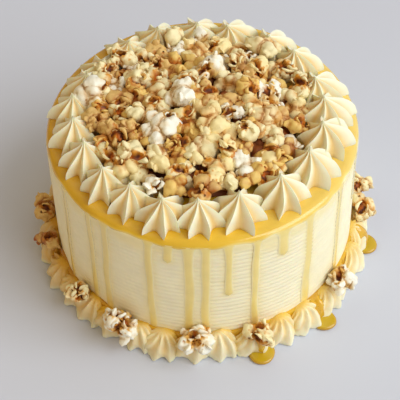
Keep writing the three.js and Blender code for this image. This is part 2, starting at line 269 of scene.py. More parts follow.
def capped_grid(points, rows, columns):
    """Faces and points of a closed body: a grid with its first and last row drawn together in a point"""
    faces = grid_faces(rows, columns)
    low = rows * columns
    high = low + 1
    last = (rows - 1) * columns
    for column in range(columns):
        beside = (column + 1) % columns
        faces.append((low, beside, column))
        faces.append((high, last + column, last + beside))
    ends = [points[:columns].mean(axis=0), points[last:last + columns].mean(axis=0)]
    return np.vstack([points, ends]), faces


def joined(parts):
    """Several [points, faces, colours] rows as one"""
    points = []
    faces = []
    colours = []
    count = 0
    for part_points, part_faces, part_colours in parts:
        points.append(part_points)
        faces.extend(tuple(corner + count for corner in face) for face in part_faces)
        colours.append(part_colours)
        count += len(part_points)
    return np.vstack(points), faces, np.vstack(colours)


def add_piece(name, points, faces, colours, material, slot, nodes):
    """A shown piece, with a colour at each of its points, that stands for CAD nodes"""
    mesh = bpy.data.meshes.new(name)
    mesh.from_pydata((points * MM).tolist(), [], faces)
    mesh.polygons.foreach_set("use_smooth", [True] * len(mesh.polygons))
    mesh.set_sharp_from_angle(angle=SHARP_FOLD)
    layer = mesh.color_attributes.new("tone", "FLOAT_COLOR", "POINT")
    layer.data.foreach_set("color", np.hstack([colours, np.ones((len(colours), 1))]).ravel())
    mesh.materials.append(material)
    piece = bpy.data.objects.new(name, mesh)
    bpy.context.scene.collection.objects.link(piece)
    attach(piece, BODY)
    if nodes:
        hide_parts(*nodes)
    return piece


def food_material(name, roughness, grain, grain_depth, mottle, soft, soft_radius, coat):
    """A food surface: its own tone with a soft mottle, fine grain, light that sinks in, and a wet coat"""
    material = bpy.data.materials.new(name)
    material.use_nodes = True
    nodes = material.node_tree.nodes
    links = material.node_tree.links
    surface = nodes["Principled BSDF"]
    tone = nodes.new("ShaderNodeVertexColor")
    tone.layer_name = "tone"
    place = nodes.new("ShaderNodeTexCoord")
    cloud = nodes.new("ShaderNodeTexNoise")
    cloud.inputs["Scale"].default_value = 110
    cloud.inputs["Detail"].default_value = 4
    links.new(place.outputs["Object"], cloud.inputs["Vector"])
    spread = nodes.new("ShaderNodeMapRange")
    spread.inputs["From Min"].default_value = 0.3
    spread.inputs["From Max"].default_value = 0.7
    spread.inputs["To Min"].default_value = 1 - mottle
    spread.inputs["To Max"].default_value = 1 + 0.4 * mottle
    links.new(cloud.outputs["Fac"], spread.inputs["Value"])
    blend = nodes.new("ShaderNodeVectorMath")
    blend.operation = "SCALE"
    links.new(tone.outputs["Color"], blend.inputs[0])
    links.new(spread.outputs["Result"], blend.inputs["Scale"])
    links.new(blend.outputs["Vector"], surface.inputs["Base Color"])
    fine = nodes.new("ShaderNodeTexNoise")
    fine.inputs["Scale"].default_value = grain
    fine.inputs["Detail"].default_value = 3
    links.new(place.outputs["Object"], fine.inputs["Vector"])
    rough = nodes.new("ShaderNodeMapRange")
    rough.inputs["To Min"].default_value = roughness - 0.1
    rough.inputs["To Max"].default_value = roughness + 0.1
    links.new(fine.outputs["Fac"], rough.inputs["Value"])
    links.new(rough.outputs["Result"], surface.inputs["Roughness"])
    bump = nodes.new("ShaderNodeBump")
    bump.inputs["Distance"].default_value = grain_depth * MM
    links.new(fine.outputs["Fac"], bump.inputs["Height"])
    links.new(bump.outputs["Normal"], surface.inputs["Normal"])
    surface.inputs["Subsurface Weight"].default_value = soft
    surface.inputs["Subsurface Radius"].default_value = (1.0, 0.65, 0.3)
    surface.inputs["Subsurface Scale"].default_value = soft_radius * MM
    surface.inputs["Coat Weight"].default_value = coat
    surface.inputs["Coat Roughness"].default_value = 0.12
    surface.inputs["Coat IOR"].default_value = 1.4
    return material


icing = food_material("combed_icing", 0.55, 900, 0.12, 0.05, 0.15, 3, 0.0)
piped_icing = food_material("piped_cream", 0.5, 1100, 0.1, 0.04, 0.25, 3, 0.0)
caramel = food_material("caramel", 0.2, 300, 0.05, 0.05, 0.1, 2, 0.6)
popcorn = food_material("popped_corn", 0.6, 1500, 0.2, 0.1, 0.0, 1.5, 0.1)


def even(colour, count):
    return np.tile(linear(colour), (count, 1))


def add_iced_cake():
    """The cake turned round its axis, with comb ridges that waver a little up and down and in depth"""
    columns = 288
    heights = [0, 2, 6, COMB_FOOT]
    ridge_steps = int((COMB_HEAD - COMB_FOOT) / COMB_PITCH * 5)
    heights += list(np.linspace(COMB_FOOT, COMB_HEAD, ridge_steps + 1)[1:])
    profile = [[CAKE_RADIUS, height] for height in heights]
    for i in range(7):
        turn = i / 6 * math.pi / 2
        profile.append([CAKE_RADIUS - CAKE_EDGE + CAKE_EDGE * math.cos(turn),
                        CAKE_HEIGHT - CAKE_EDGE + CAKE_EDGE * math.sin(turn)])
    profile += [[90, CAKE_HEIGHT], [60, CAKE_HEIGHT], [20, CAKE_HEIGHT]]
    angles = np.arange(columns) * 2 * math.pi / columns
    around, along = np.meshgrid(angles, range(len(profile)))
    radius = np.array(profile)[:, 0][along].ravel()
    height = np.array(profile)[:, 1][along].ravel().astype(float)
    around = around.ravel()
    wall = np.stack([CAKE_RADIUS * np.cos(around), CAKE_RADIUS * np.sin(around), height], axis=1)
    waver = 0.35 * wobble(wall * [1, 1, 0.2], 40, 3)
    phase = (height - COMB_FOOT + waver) / COMB_PITCH
    groove = np.abs(np.cos(math.pi * phase)) ** 3
    depth = COMB_DEPTH * (0.85 + 0.25 * wobble(wall * [1, 1, 3], 14, 4))
    combed = smooth_step(COMB_FOOT - 1, COMB_FOOT + 2, height)
    combed *= 1 - smooth_step(COMB_HEAD - 2, COMB_HEAD + 1, height)
    combed *= 1 - soaked_wall(wall)
    radius = radius - combed * (groove * depth - 0.1) + 0.15 * wobble(wall, 30, 5) * (height < CAKE_HEIGHT - 1)
    points = np.stack([radius * np.cos(around), radius * np.sin(around), height], axis=1)
    points, faces = capped_grid(points, len(profile), columns)
    colours = mixed(even(ICING_COLOUR, len(points)), even(CARAMEL_PALE, len(points)), soaked_wall(points))
    add_piece("iced_cake", points, faces, colours, icing, "icing", ["cake"])


def soaked_wall(points):
    """How far caramel has soaked into the icing: beside each drip, and in a soft band under the glaze"""
    angle = np.arctan2(points[:, 1], points[:, 0])
    height = points[:, 2]
    soaked = 0.45 * smooth_step(89, 99, height + 3 * wobble(points * [1, 1, 0.3], 16, 8))
    for degrees, foot in DRIPS:
        away = (angle - math.radians(degrees) + math.pi) % (2 * math.pi) - math.pi
        beside = np.exp(-(away * CAKE_RADIUS / (0.75 * DRIP_WIDTH)) ** 2)
        soaked = np.maximum(soaked, 0.6 * beside * smooth_step(foot - 4, foot + 2, height))
    return soaked


def caramel_tone(film):
    """Caramel is pale where its film is thin, golden where it is 1 and dark brown where it is 2"""
    count = len(film)
    thin = mixed(even(ICING_COLOUR, count), even(CARAMEL_PALE, count), film / 0.4)
    golden = mixed(thin, even(CARAMEL_GOLD, count), (film - 0.4) / 0.6)
    return mixed(golden, even(CARAMEL_DARK, count), film - 1)


def glaze_sheet():
    """The poured layer: golden over the flat top and round the edge, where it thins away unevenly"""
    columns = 360
    arc = []
    for i in range(13):
        turn = math.pi / 2 - i / 12 * math.pi / 2
        arc.append([CAKE_RADIUS - CAKE_EDGE + CAKE_EDGE * math.cos(turn),
                    CAKE_HEIGHT - CAKE_EDGE + CAKE_EDGE * math.sin(turn)])
    flat = [[radius, CAKE_HEIGHT] for radius in [20, 50, 66, 74, 80, 84, 87, 89, 91, 93, 94, 95, 96, 97]]
    lip = CAKE_HEIGHT - CAKE_EDGE
    wall = [[CAKE_RADIUS, lip - drop] for drop in [0.5, 1, 1.5, 2, 2.5, 3, 3.5]]
    skin = np.array(flat + arc + wall)
    normals = np.array([[0, 1]] * len(flat) + [
        [math.cos(math.pi / 2 - i / 12 * math.pi / 2), math.sin(math.pi / 2 - i / 12 * math.pi / 2)]
        for i in range(13)
    ] + [[1, 0]] * len(wall))
    run = np.concatenate([[0], np.cumsum(np.hypot(*np.diff(skin, axis=0).T))])
    run -= run[len(flat) - 1]
    angles = np.arange(columns) * 2 * math.pi / columns
    edge = np.stack([CAKE_RADIUS * np.cos(angles), CAKE_RADIUS * np.sin(angles), 0 * angles], axis=1)
    end = 6.0 + 0.8 * wobble(edge, 9, 21) + 0.6 * wobble(edge, 30, 22)
    rows = []
    films = []
    for place, normal, distance in zip(skin, normals, run):
        fade = smooth_step(-1, 4.2, np.full(columns, distance))
        closing = 1 - smooth_step(-1.6, 0, distance - end)
        thickness = ((GLAZE_THICKNESS + GAP) * (1 - fade) + 0.28 * fade) * closing - 0.3 * (1 - closing)
        if distance < -1:
            thickness = thickness + 0.1 * wobble(edge * place[0] / CAKE_RADIUS, 12, 23)
        radius = place[0] + normal[0] * thickness
        height = place[1] + normal[1] * thickness
        rows.append(np.stack([radius * np.cos(angles), radius * np.sin(angles), height], axis=1))
        # The film runs thicker to the left and thinner to the right: painted shade on the left and painted light on the
        # right; it also thins away toward its end
        films.append(1.05 - 0.34 * np.cos(angles) - 0.75 * smooth_step(-3.2, -0.2, distance - end))
    inner = []
    for place, normal in zip(skin[::-1], normals[::-1]):
        radius = place[0] - 0.5 * normal[0]
        height = place[1] - 0.5 * normal[1]
        inner.append(np.stack([radius * np.cos(angles), radius * np.sin(angles), np.full(columns, height)], axis=1))
    # The skin runs from the middle outwards and down, so the closed body is listed the other way up
    points = np.vstack((rows + inner)[::-1])
    film = np.concatenate((films + [films[-1]] * len(inner))[::-1])
    points, faces = capped_grid(points, len(rows) + len(inner), columns)
    return points, faces, caramel_tone(np.concatenate([film, [1, 1]]))


def drip(degrees, foot, width, seed):
    """One thin tongue of caramel that wanders as it runs down and gathers at its rounded end"""
    columns = 12
    top = CAKE_HEIGHT - CAKE_EDGE + 1.5
    ends_free = foot > 30
    length = top - foot if ends_free else top - 12
    rows = max(12, int(length / 1.8))
    generator = np.random.default_rng(seed)
    bend = generator.uniform(-1, 1, 3)
    points = []
    films = []
    turns = np.arange(columns) * 2 * math.pi / columns
    for i in range(rows):
        down = length * (i / (rows - 1)) ** (1.0 if not ends_free else 0.96)
        left = length - down
        spread = 1 + 0.9 * math.exp(-down / 2.2)
        half = 0.5 * width * (spread + 0.08 * math.sin(down / 7 + 5 * bend[0]))
        depth = DRIP_DEPTH * 0.5
        if ends_free:
            bulb = math.exp(-((left - 0.7 * width) / (0.9 * width)) ** 2)
            half *= 1 + 0.12 * bulb
            depth *= 1 + 0.5 * bulb
            closing = math.sqrt(max(0.0, 1 - max(0.0, 1 - left / (0.62 * width)) ** 2))
            half *= max(closing, 0.04)
            depth *= 0.35 + 0.65 * closing
        wander = 0.5 * math.sin(down / 16 + 6 * bend[1]) + 0.25 * math.sin(down / 7 + 6 * bend[2])
        side = half * np.cos(turns) + wander
        height = top - down
        ridge = 0.1 * math.cos(2 * math.pi * (height - COMB_FOOT) / COMB_PITCH)
        crown = (depth + ridge) * np.sin(turns) ** 2
        out = np.where(np.sin(turns) > 0, crown, -0.9 * np.abs(np.sin(turns)))
        base = CAKE_RADIUS + DRIP_EDGE
        if height > CAKE_HEIGHT - CAKE_EDGE:
            over = (height - CAKE_HEIGHT + CAKE_EDGE) / CAKE_EDGE
            base = CAKE_RADIUS - CAKE_EDGE + CAKE_EDGE * math.sqrt(max(0, 1 - over ** 2)) + DRIP_EDGE
        angle = math.radians(degrees) + side / CAKE_RADIUS
        radius = base + out
        points.append(np.stack([radius * np.cos(angle), radius * np.sin(angle), np.full(columns, height)], axis=1))
        thick = DRIP_FILM if not ends_free else DRIP_FILM + 0.1 * math.exp(-(left / (1.2 * width)) ** 2)
        films.append(thick * (0.1 + 0.9 * smooth_step(0.05, 0.95, np.abs(np.sin(turns)))))
    # A drip's section runs the wrong way round when it is seen from its lower end, so its rows are turned over
    points, faces = capped_grid(np.vstack(points[::-1]), rows, columns)
    film = np.concatenate(films[::-1])
    return points, [face[::-1] for face in faces], caramel_tone(np.concatenate([film, [0.4, 0.4]]))


def add_glaze():
    random = seeded_random(31)
    parts = [glaze_sheet()]
    for i, (degrees, foot) in enumerate(DRIPS):
        parts.append(drip(degrees, foot, DRIP_WIDTH * (0.8 + 0.4 * random()), 100 + i))
    points, faces, colours = joined(parts)
    add_piece("glaze_and_drips", points, faces, colours, caramel, "caramel", ["caramel_glaze"])


def rosette_body(size, height, lean_x, lean_y, turn, swirl, seed):
    """A star of icing: thin ribs with broad hollows between them, drawn up into a notched peak"""
    generator = np.random.default_rng(seed)
    half_rib = [0, 0.08, 0.22, 0.42, 0.7]
    across = np.array(half_rib + [1] + [2 - step for step in half_rib[:0:-1]]) / 2
    columns = ROSETTE_RIBS * len(across)
    profile = smooth_curve(ROSETTE_PROFILE, 5)
    levels = len(profile)
    phase = (np.arange(ROSETTE_RIBS)[:, None] + across).ravel()
    from_crest = 2 * np.abs(phase - np.round(phase))
    rib = np.round(phase).astype(int) % ROSETTE_RIBS
    strength = generator.uniform(0.9, 1.06, ROSETTE_RIBS)[rib]
    shift = generator.uniform(-0.1, 0.1, ROSETTE_RIBS)[rib] * (1 - from_crest)
    notch = generator.uniform(-0.9, 1.1, ROSETTE_RIBS)[rib]
    around = phase * 2 * math.pi / ROSETTE_RIBS + shift
    rows = []
    shades = []
    for reach, level in profile:
        valley = np.interp(level, [0, 0.12, 0.5, 0.8, 1], [0.62, 0.66, 0.58, 0.46, 0.3])
        bow = np.interp(level, [0, 0.2, 0.6, 1], [2.2, 2.1, 1.8, 1.3])
        blade = (1 - from_crest) ** bow
        share = valley + (1 - valley) * blade
        radius = reach * size * share * (1 + (strength - 1) * (1 - from_crest))
        twist = turn + swirl * level + 0.25 * level ** 4 + 0.03 * np.sin(7 * level + 2.3 * rib + seed)
        rise = level * height
        crown = smooth_step(0.86, 1.0, level) * notch * (1 - from_crest) - smooth_step(0.86, 1.0, level) * from_crest
        x = radius * np.cos(around + twist) + lean_x * level ** 2
        y = radius * np.sin(around + twist) + lean_y * level ** 2
        rows.append(np.stack([x, y, rise + crown], axis=1))
        # Painted shade in the hollows between the ribs, fading out toward the peak
        shades.append((1 - blade) * (1 - smooth_step(0.75, 1, level)))
    points = np.vstack(rows)
    points[:, :2] *= 1 + 0.014 * wobble(points, 4, seed + 1)[:, None] + 0.02 * wobble(points, 14, seed + 2)[:, None]
    points, faces = capped_grid(points, levels, columns)
    shade = np.concatenate([np.concatenate(shades), [1, 0]])
    colours = mixed(even(PIPED_COLOUR, len(points)), even(PIPED_GROOVE_SHADE, len(points)), 0.85 * shade ** 2.2)
    return points, faces, colours


def add_rosettes():
    random = seeded_random(77)
    for i, (degrees, radius, reach, turn, lean) in enumerate(ROSETTES):
        angle = math.radians(degrees)
        height = ROSETTE_HEIGHT * (0.94 + 0.12 * random())
        lean_x = lean + ROSETTE_LEAN * (random() - 0.5) * 2
        lean_y = ROSETTE_LEAN * (random() - 0.5) * 2
        swirl = ROSETTE_SWIRL * (1 - lean)
        points, faces, colours = rosette_body(reach, height, lean_x, lean_y, math.radians(turn), swirl, 200 + i)
        place = Matrix.Translation((radius * math.cos(angle), radius * math.sin(angle), TOPPING_FLOOR - 0.5))
        placing = np.array(place @ Matrix.Rotation(angle, 4, "Z"))
        points = points @ placing[:3, :3].T + placing[:3, 3]
        number = f"{i + 1:02d}"
        add_piece(f"piped_rosette_{number}", points, faces, colours, piped_icing, "piped_icing", [f"rosette_{number}"])


def kernel_lobes(size, random):
    """The lobes of one popcorn piece, as [x, y, z, radius] round its own middle"""
    count = 3 if random() < 0.5 else 4
    turn = random() * 2 * math.pi
    lobes = []
    for i in range(count):
        around = turn + (i + 0.5 * (random() - 0.5)) * 2 * math.pi / count
        lift = 1.6 * (random() - 0.45)
        reach = size * (0.2 + 0.08 * random())
        radius = size * (0.24 + 0.08 * random())
        lobes.append([reach * math.cos(around) * math.cos(lift), reach * math.sin(around) * math.cos(lift),
                      reach * math.sin(lift), radius])
    return lobes


def unit_ball(frequency):
    """A round ball whose twenty first faces are each cut into frequency rows of small triangles"""
    first = bmesh.new()
    bmesh.ops.create_icosphere(first, subdivisions=1, radius=1)
    numbers = {}
    directions = []
    faces = []

    def number(point):
        key = tuple(np.round(point, 5))
        if key not in numbers:
            numbers[key] = len(directions)
            directions.append(point / np.linalg.norm(point))
        return numbers[key]

    for face in first.faces:
        corner, second, third = [np.array(vertex.co) for vertex in face.verts]
        right = (second - corner) / frequency
        up = (third - corner) / frequency
        for i in range(frequency):
            for j in range(frequency - i):
                start = corner + i * right + j * up
                faces.append((number(start), number(start + right), number(start + up)))
                if i + j < frequency - 1:
                    faces.append((number(start + right), number(start + right + up), number(start + up)))
    first.free()
    return np.array(directions), faces


FINE_BALL = unit_ball(7)
PLAIN_BALL = unit_ball(4)
EAR_BALL = unit_ball(3)


def lobe_reach(directions, lobes):
    """How far each lobe's surface lies from the middle along each direction"""
    middles = lobes[:, :3]
    along = directions @ middles.T
    off_axis = np.maximum((middles ** 2).sum(axis=1)[None, :] - along ** 2, 0)
    inside = lobes[:, 3][None, :] ** 2 - off_axis
    missed = 2 * (np.sqrt(off_axis) - lobes[:, 3][None, :])
    return np.where(inside > 0, along + np.sqrt(np.maximum(inside, 0)), along - missed)


def unit(vector):
    return vector / np.linalg.norm(vector)


def puff(middle, radius, bubbles, ball, generator, flat=None, thickness=1):
    """A puff of foam, with smaller bubbles swelling out of it, that may be pressed thin along one direction"""
    directions, faces = ball
    swells = [[0, 0, 0, 0.92 * radius]]
    for _ in range(bubbles):
        heading = unit(unit(middle) + 0.9 * generator.normal(size=3))
        share = generator.uniform(0.34, 0.7)
        swells.append([*(heading * radius * (1.12 - 0.8 * share)), radius * share])
    reach = lobe_reach(directions, np.array(swells)).max(axis=1)
    points = directions * reach[:, None]
    fold = np.clip(1 - np.abs(wobble(points, 1.0 * radius, generator.integers(9999))) / 0.25, 0, 1) ** 2
    rough = wobble(points, 0.45 * radius, generator.integers(9999))
    points = points * (1 - 0.16 * fold + 0.05 * rough + 0.06 * np.abs(rough))[:, None]
    if flat is not None:
        points = points - (1 - thickness) * (points @ flat)[:, None] * flat
    return points + middle, faces


def lip(opening, start, sweep, thickness):
    """A curled edge of foam along part of an opening's rim: a bent roll, thinner at both ends"""
    rows = 10
    columns = 8
    heading = opening["heading"]
    sideways = opening["sideways"]
    lengthways = opening["stretch"] * np.cross(heading, sideways)
    sunk = opening["spot"] - 0.3 * thickness * heading
    turns = np.arange(columns)[:, None] * 2 * math.pi / columns
    points = []
    for share in np.linspace(0, 1, rows):
        angle = start + sweep * share
        outward = math.cos(angle) * sideways + math.sin(angle) * lengthways
        radius = thickness * (0.3 + 0.7 * math.sin(math.pi * share)) * (1 + 0.2 * math.sin(9 * share + start))
        middle = sunk + (opening["half"] + 0.6 * radius) * outward + 0.5 * radius * heading
        points.append(middle + radius * (np.cos(turns) * unit(outward) - 1.3 * np.sin(turns) * heading))
    return capped_grid(np.vstack(points), rows, columns)


def make_openings(kernel, lobes, generator):
    """The places where a kernel is torn open, each with its heading, its middle and its half width"""
    size = kernel["size"]
    count = kernel["holes"]
    across = unit(np.cross(SHOWING, generator.normal(size=3)))
    beside = np.cross(SHOWING, across)
    start = generator.uniform(0, 2 * math.pi)
    openings = []
    for i in range(count):
        turn = start + i * 2 * math.pi / count
        spread = OPENING_SPREAD * (generator.uniform(0.2, 1.1) if count == 1 else generator.uniform(0.8, 1.2))
        heading = unit(SHOWING + spread * (math.cos(turn) * across + math.sin(turn) * beside))
        level = lobe_reach(heading[None, :], lobes).max()
        half = OPENING_WIDTH * size * generator.uniform(0.6, 1.25) / (1 + 0.12 * (count - 1))
        openings.append({"heading": heading, "spot": heading * level, "half": half,
                         "sideways": unit(np.cross(heading, generator.normal(size=3))),
                         "stretch": generator.uniform(1.1, 2.2)})
    return openings


def popped_kernel(kernel, seed, plain=False):
    """A burst kernel: puffs of foam with thin ears, torn open here and there down to the dark hull"""
    generator = np.random.default_rng(seed)
    size = kernel["size"]
    lobes = np.array(kernel["lobes"])
    lobes[:, :3] *= KERNEL_SPLAY
    lobes[:, 3] *= KERNEL_PLUMP
    lobes[0, 3] *= KERNEL_LEAD
    lobes = np.vstack([lobes, [[0, 0, 0, 0.75 * KERNEL_MIDDLE * size]]])
    openings = make_openings(kernel, lobes, generator)
    balls = [PLAIN_BALL if plain else FINE_BALL] * (len(lobes) - 1) + [PLAIN_BALL]
    bodies = []
    for (x, y, z, radius), ball in zip(lobes, balls):
        middle = np.array([x, y, z + 0.001])
        flat = unit(generator.normal(size=3))
        bodies.append([*puff(middle, radius, 4, ball, generator, flat, 0.85), middle, radius])
    for _ in range(2 if plain else 6):
        x, y, z, radius = lobes[generator.integers(len(lobes) - 1)]
        heading = unit(unit(np.array([x, y, z])) + 0.8 * generator.normal(size=3))
        middle = np.array([x, y, z]) + 0.9 * radius * heading
        ear = generator.uniform(0.12, 0.21) * size
        flat = unit(np.cross(heading, generator.normal(size=3)))
        bodies.append([*puff(middle, ear, 4, EAR_BALL, generator, flat, 0.42), middle, 0])
    for opening in openings:
        start = generator.uniform(0, 2 * math.pi)
        for _ in range(generator.integers(1, 3)):
            sweep = generator.uniform(1.1, 2.2)
            points, faces = lip(opening, start, sweep, generator.uniform(0.035, 0.08) * size)
            bodies.append([points, faces, opening["spot"], 0])
            start += sweep + generator.uniform(0.3, 1.2)
    light, low = POPCORN_LIT_AND_SHADED_TONES[kernel["tone"]]
    middles = np.array([body[2] for body in bodies])
    radii = np.array([body[3] for body in bodies])
    parts = []
    for i, (points, faces, _, radius) in enumerate(bodies):
        count = len(points)
        others = (np.arange(len(bodies)) != i) & (radii > 0)
        clear = (np.linalg.norm(points[:, None, :] - middles[others], axis=2) - radii[others]).min(axis=1)
        depth = np.abs(clear) / size
        # Painted light and shade: each body takes its tone's lit colour out at its tips and where it faces up toward
        # the viewer, and the shaded copy lower down and further in
        out = np.linalg.norm(points, axis=1) / (0.5 * size)
        facing_lit = points @ SHOWING / (0.5 * size)
        share = 0.42 * out + 0.45 * facing_lit + 0.2 * wobble(points, 0.5 * size, seed + 3)
        colours = mixed(even(low, count), even(light, count), smooth_step(0.0, 0.6, share))
        # Caramel stains in random patches, partly painted shade since they keep off the lit tips, and painted shade in
        # the creases where the bodies meet
        stain_and_shade = smooth_step(0.35, 1.3, wobble(points, 0.22 * size, seed + 4))
        in_shade = 1 - 0.8 * smooth_step(0.4, 1.0, share)
        stain_and_shade = np.maximum(kernel.get("stain_and_shade", 0.3) * stain_and_shade, 0.8 * np.exp(-depth / 0.04)) * in_shade
        colours = mixed(colours, even(low, count), 1.4 * stain_and_shade)
        colours = mixed(colours, even(POPCORN_STAIN_AND_SHADE, count), stain_and_shade ** 2)
        # Painted shade: a dark brown line right where the bodies meet
        colours = mixed(colours, even(POPCORN_CREASE_SHADE, count), 0.85 * np.exp(-depth / 0.018) * in_shade)
        if radius > 0:
            for opening in openings:
                local = points - opening["spot"]
                along = local @ opening["heading"]
                lengthways = np.cross(opening["heading"], opening["sideways"])
                aside = np.hypot(local @ opening["sideways"], local @ lengthways / opening["stretch"])
                ragged = 1 + 0.35 * wobble(points, 1.6, seed + 6)
                torn = 1 - smooth_step(0.7, 1.15, aside / opening["half"] * ragged)
                torn = torn * (along > -0.35 * size)
                singed = (1 - smooth_step(0.8, 1.9, aside / opening["half"] * ragged)) * (along > -0.35 * size)
                colours = mixed(colours, even(low, count), 1.5 * singed)
                colours = mixed(colours, even(POPCORN_STAIN_AND_SHADE, count), 0.9 * singed ** 2)
                points = points - 0.2 * size * torn[:, None] * opening["heading"]
                hull = mixed(even(HULL_DARK, count), even(HULL_ORANGE, count), 0.3 + 0.6 * wobble(points, 2.5, seed + 5))
                colours = mixed(colours, hull, 1.3 * torn ** 1.5)
        parts.append([points + kernel["place"], faces, colours])
    return joined(parts)


def heap_places(random):
    """The heap's pieces: the large ones, and a smaller one at each clear place of a golden-angle spiral"""
    places = [list(large) for large in LARGE_POPCORN]
    fill_tones = ["yellow", "cream", "tan", "cream", "yellow", "white", "cream", "amber"]
    for i in range(HEAP_SPIRAL):
        size = KERNEL_SIZE + KERNEL_SPREAD * (random() - 0.5)
        out = HEAP_RADIUS * math.sqrt((i + 0.5) / HEAP_SPIRAL)
        x = HEAP_SHIFT + out * math.cos(i * GOLDEN_ANGLE)
        y = out * math.sin(i * GOLDEN_ANGLE)
        if all(math.hypot(x - other[0], y - other[1]) > HEAP_SPACING for other in places):
            places.append([x, y, size, fill_tones[len(places) % 8], (0, 1, 1, 2)[len(places) % 4]])
    return places


def heap_kernels():
    random = seeded_random(5)
    kernels = []
    for x, y, size, tone, holes in heap_places(random):
        share = min(1, math.hypot(x - HEAP_SHIFT, y) / HEAP_RADIUS)
        lean = HEAP_LEAN * max(0, math.hypot(x, y) - HEAP_LEAN_RADIUS)
        lift = HEAP_CORE_HEIGHT * (1 - share * share) + lean + 4 * (random() - 0.5)
        place = np.array([x, y, TOPPING_FLOOR + lift + KERNEL_SEAT * size])
        kernels.append({"size": size, "place": place, "lobes": kernel_lobes(size, random),
                        "tone": tone, "holes": holes})
    return kernels


def filling_kernels(kernels):
    """Smaller popcorn in the gaps that the larger pieces leave over the core"""
    random = seeded_random(15)
    # These deeper pieces take darker tones and more stain than the larger ones: painted shade
    tones = ["amber", "yellow", "tan", "cream", "amber"]
    taken = [(kernel["place"][0], kernel["place"][1], 0.2 * kernel["size"]) for kernel in kernels]
    filling = []
    for i in range(FILLING_SPIRAL):
        out = FILLING_RADIUS * math.sqrt((i + 0.5) / FILLING_SPIRAL)
        x = HEAP_SHIFT + out * math.cos(i * GOLDEN_ANGLE)
        y = out * math.sin(i * GOLDEN_ANGLE)
        size = FILLING_SIZE * (0.85 + 0.3 * random())
        if any(math.hypot(x - other[0], y - other[1]) < FILLING_SPACING * 0.5 + other[2] for other in taken):
            continue
        taken.append((x, y, 0.5 * FILLING_SPACING))
        share = out / FILLING_RADIUS
        lift = HEAP_CORE_HEIGHT * (1 - share * share) + HEAP_LEAN * max(0, math.hypot(x, y) - HEAP_LEAN_RADIUS)
        lift += 0.5 + 5 * share ** 4
        filling.append({"size": size, "place": np.array([x, y, TOPPING_FLOOR + lift + 2 * random()]),
                        "lobes": kernel_lobes(size, random), "tone": tones[len(filling) % 5],
                        "holes": len(filling) % 2, "stain_and_shade": 0.8})
    return filling


def add_heap():
    kernels = heap_kernels()
    golden = ("yellow", "amber", "tan")
    kinds = {
        "popcorn_white": [kernel for kernel in kernels if kernel["tone"] == "white"],
        "popcorn_cream": [kernel for kernel in kernels if kernel["tone"] == "cream"],
        "popcorn_golden": [kernel for kernel in kernels if kernel["tone"] in golden],
        "popcorn_filling": filling_kernels(kernels),
    }
    for start, (kind, members) in enumerate(kinds.items()):
        plain = kind == "popcorn_filling"
        parts = [popped_kernel(kernel, 1000 * (start + 1) + 10 * i, plain) for i, kernel in enumerate(members)]
        add_piece(kind, *joined(parts), popcorn, "popcorn", ["popcorn_heap"])
    add_heap_core()


def add_heap_core():
    """The low dome under the heap, lumpy with the popcorn that lies deepest, coloured dark brown as painted shade for
    the heap's deep gaps and darker still in the hollows between its lumps
    """
    generator = np.random.default_rng(41)
    columns = 200
    rows = 56
    angles = np.arange(columns) * 2 * math.pi / columns
    out, around = np.meshgrid(np.linspace(HEAP_CORE_RADIUS - 2, 2, rows), angles, indexing="ij")
    flat = np.stack([(HEAP_SHIFT + out * np.cos(around)).ravel(), (out * np.sin(around)).ravel()], axis=1)
    share = (out / HEAP_CORE_RADIUS).ravel()
    dome = np.interp(share, [0, 0.5, 0.9, 0.97], [HEAP_CORE_HEIGHT, 0.8 * HEAP_CORE_HEIGHT, HEAP_CORE_EDGE, 0.3]) - 2.5
    lump = np.full(len(flat), -2.0)
    for _ in range(420):
        reach = HEAP_CORE_RADIUS * math.sqrt(generator.uniform())
        turn = generator.uniform(0, 2 * math.pi)
        radius = generator.uniform(3, 5.5)
        away = np.hypot(flat[:, 0] - HEAP_SHIFT - reach * math.cos(turn), flat[:, 1] - reach * math.sin(turn))
        lump = np.maximum(lump, np.sqrt(np.maximum(radius ** 2 - away ** 2, 0)) - 0.35 * radius)
    inside = smooth_step(0, 0.06, 0.97 - share)
    height = TOPPING_FLOOR + (dome + 0.8 * lump) * inside + 0.2
    points, faces = capped_grid(np.column_stack([flat, height]), rows, columns)
    raised = np.concatenate([smooth_step(-1, 3, lump), [0, 1]])
    colours = mixed(even(HEAP_CORE_HOLLOW_SHADE, len(points)), even(HEAP_CORE_SHADE_COLOUR, len(points)), raised)
    add_piece("popcorn_core", points, faces, colours, popcorn, "popcorn", ["popcorn_heap"])


def add_base_popcorn():
    random = seeded_random(9)
    for i, (degrees, tone, holes) in enumerate(BASE_POPCORN):
        angle = math.radians(degrees)
        size = BASE_POPCORN_SIZE * (0.9 + 0.25 * random())
        out = BASE_POPCORN_RING + 3 * (random() - 0.5)
        place = np.array([out * math.cos(angle), out * math.sin(angle), BASE_POPCORN_HEIGHT + 3 * (random() - 0.5)])
        kernel = {"size": size, "place": place, "lobes": kernel_lobes(size, random), "tone": tone, "holes": holes,
                  "stain_and_shade": 0.3 + 0.3 * holes}
        points, faces, colours = popped_kernel(kernel, 900 + 10 * i)
        press = np.maximum(1, (CAKE_RADIUS + 1.5) / np.hypot(points[:, 0], points[:, 1]))
        points[:, :2] *= press[:, None]
        number = f"{i + 1:02d}"
        add_piece(f"pressed_popcorn_{number}", points, faces, colours, popcorn, "popcorn",
                  [f"base_popcorn_{number}"])


def border_shells():
    """Each shell of the border as its angle, half width and top height"""
    random = seeded_random(12)
    shells = []
    for i in range(SHELL_COUNT):
        angle = (i + 0.25 * (random() - 0.5)) * 2 * math.pi / SHELL_COUNT
        width = SHELL_HALF_WIDTH * (0.93 + 0.18 * random())
        top = SHELL_TOP * (0.94 + 0.14 * random())
        shells.append([angle, width, top])
    return shells


